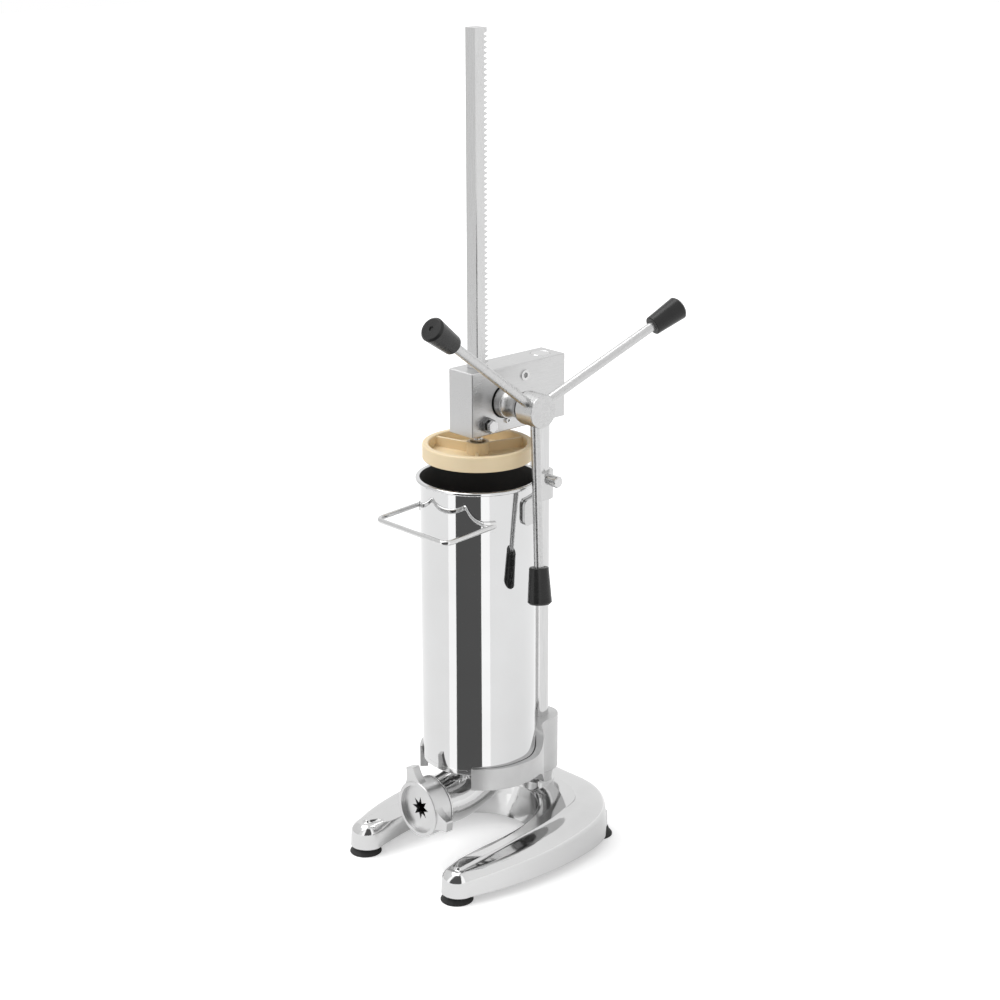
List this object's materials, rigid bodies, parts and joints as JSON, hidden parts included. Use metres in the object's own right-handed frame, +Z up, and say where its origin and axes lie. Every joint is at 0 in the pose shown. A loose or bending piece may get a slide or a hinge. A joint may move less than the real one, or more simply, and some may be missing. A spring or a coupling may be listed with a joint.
{
  "type": "manual churro maker",
  "caption": "Hand-wound churro maker: a handle winds a toothed bar and plunger down a steel dough cylinder that stands on a horseshoe base.",
  "frame": {"origin": "on the floor under the middle of the whole object's box", "axes": "+Z up along the column and the rack, -Y is the front that the nozzle faces, +X is the handle's side"},
  "size_m": [0.2061, 0.332, 0.83],
  "materials": {
    "polished_casting": "polished, hollow casting",
    "cast_aluminium": "matte, fine cast grain",
    "machined_aluminium": "machined, satin",
    "ground_steel": "ground",
    "bright_steel": "bright zinc plate",
    "polished_stainless": "mirror polish outside, dark lining inside",
    "satin_stainless": "satin",
    "polished_wire": "polished stainless wire",
    "chromed_steel": "bright chrome",
    "cream_plastic": "moulded, satin",
    "black_phenolic": "moulded, satin gloss",
    "black_rubber": "matte",
    "bronze": "sintered bronze",
    "black_acetal": "turned, satin",
    "blackened_steel": "blackened, satin"
  },
  "bodies": {
    "frame": {"base_casting": "polished_casting", "foot_front_left": "black_rubber", "foot_front_right": "black_rubber", "foot_rear_left": "black_rubber", "foot_rear_right": "black_rubber", "foot_screws": "bright_steel", "base_collar": "bright_steel", "column": "ground_steel", "column_bolt": "bright_steel", "base_washer": "bright_steel", "cradle_casting": "cast_aluminium", "socket_screw": "bright_steel", "head_block": "machined_aluminium", "head_lock_screw": "bright_steel", "rack_pad": "bronze", "rack_pressure_bolt": "bright_steel", "rack_lock_nut": "blackened_steel", "oil_plug": "bright_steel", "bush_screw": "bright_steel", "bush_left": "black_acetal", "bush_right": "black_acetal"},
    "rack": {"rack": "ground_steel", "plunger_disc": "cream_plastic", "plunger_washer": "blackened_steel", "plunger_nut": "bright_steel", "plunger_bolt": "bright_steel"},
    "handle": {"pinion_shaft": "ground_steel", "retaining_ring": "bright_steel", "shaft_collar": "chromed_steel", "handle_hub": "chromed_steel", "hub_screw": "bright_steel", "spoke_1": "chromed_steel", "spoke_2": "chromed_steel", "spoke_3": "chromed_steel", "knob_1": "black_phenolic", "knob_2": "black_phenolic", "knob_3": "black_phenolic"},
    "cylinder": {"cylinder_tube": "polished_stainless", "spout_casting": "cast_aluminium", "wire_handle": "polished_wire", "handle_tabs": "polished_wire"},
    "die": {"die_seal": "black_rubber", "star_die": "cast_aluminium"},
    "cap": {"nozzle_cap": "cast_aluminium"},
    "saddle": {"upper_saddle": "satin_stainless"},
    "thumb_screw": {"saddle_screw": "bright_steel"}
  },
  "joints": [
    {"name": "handle_turn", "type": "hinge", "parent": "frame", "child": "handle", "pos_m": [0, -0.00816, 0.475], "axis": [1, 0, 0], "range_deg": [-19, 1177]},
    {"name": "rack_slide", "type": "slide", "parent": "frame", "child": "rack", "axis": [0, 0, 1], "range_m": [-0.296, 0.005]},
    {"name": "cylinder_lift", "type": "slide", "parent": "frame", "child": "cylinder", "axis": [0, 0, 1], "range_m": [0, 0.012]},
    {"name": "cap_travel", "type": "slide", "parent": "cylinder", "child": "die", "axis": [0, -1, 0], "range_m": [0, 0.0125]},
    {"name": "cap_turn", "type": "hinge", "parent": "die", "child": "cap", "pos_m": [0, -0.10196, 0.0685], "axis": [0, -1, 0], "range_deg": [0, 1440]},
    {"name": "saddle_slide", "type": "slide", "parent": "frame", "child": "saddle", "axis": [0, 0, 1], "range_m": [-0.2, 0.009]},
    {"name": "saddle_screw_turn", "type": "hinge", "parent": "saddle", "child": "thumb_screw", "pos_m": [0.02, 0.05504, 0.381], "axis": [1, 0, 0], "range_deg": [0, 720]}
  ],
  "couplings": [
    {"joint": "rack_slide", "follows": "handle_turn", "m_per_rad": -0.0144},
    {"joint": "cap_travel", "follows": "cap_turn", "m_per_rad": 0.00047746}
  ]
}
